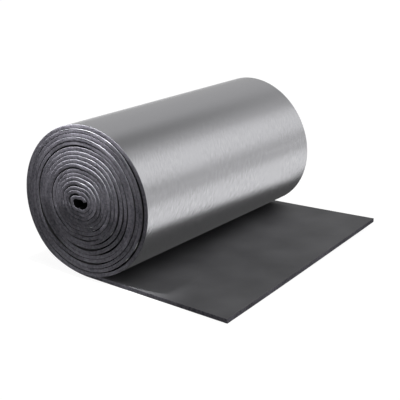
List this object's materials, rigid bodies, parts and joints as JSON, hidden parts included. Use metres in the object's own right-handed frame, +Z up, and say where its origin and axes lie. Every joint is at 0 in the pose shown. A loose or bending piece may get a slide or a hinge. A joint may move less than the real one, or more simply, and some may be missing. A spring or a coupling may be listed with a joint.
{
  "type": "insulation roll",
  "caption": "Roll of foil-faced closed-cell foam insulation lying on its side, foil outwards, with the free end of the sheet laid out flat in front of it.",
  "frame": {"origin": "on the floor, under the middle of the object's box", "axes": "+X along the roll's axis and bore, -Y the way the free end runs out, +Z up"},
  "size_m": [1, 0.7974, 0.525],
  "materials": {
    "foam": "charcoal closed-cell foam, matt, softly mottled, with cut edges",
    "foil": "satin aluminium foil laminate, finely crinkled"
  },
  "bodies": {
    "root": {"foam_sheet": "foam", "foil_facing": "foil"}
  },
  "joints": []
}
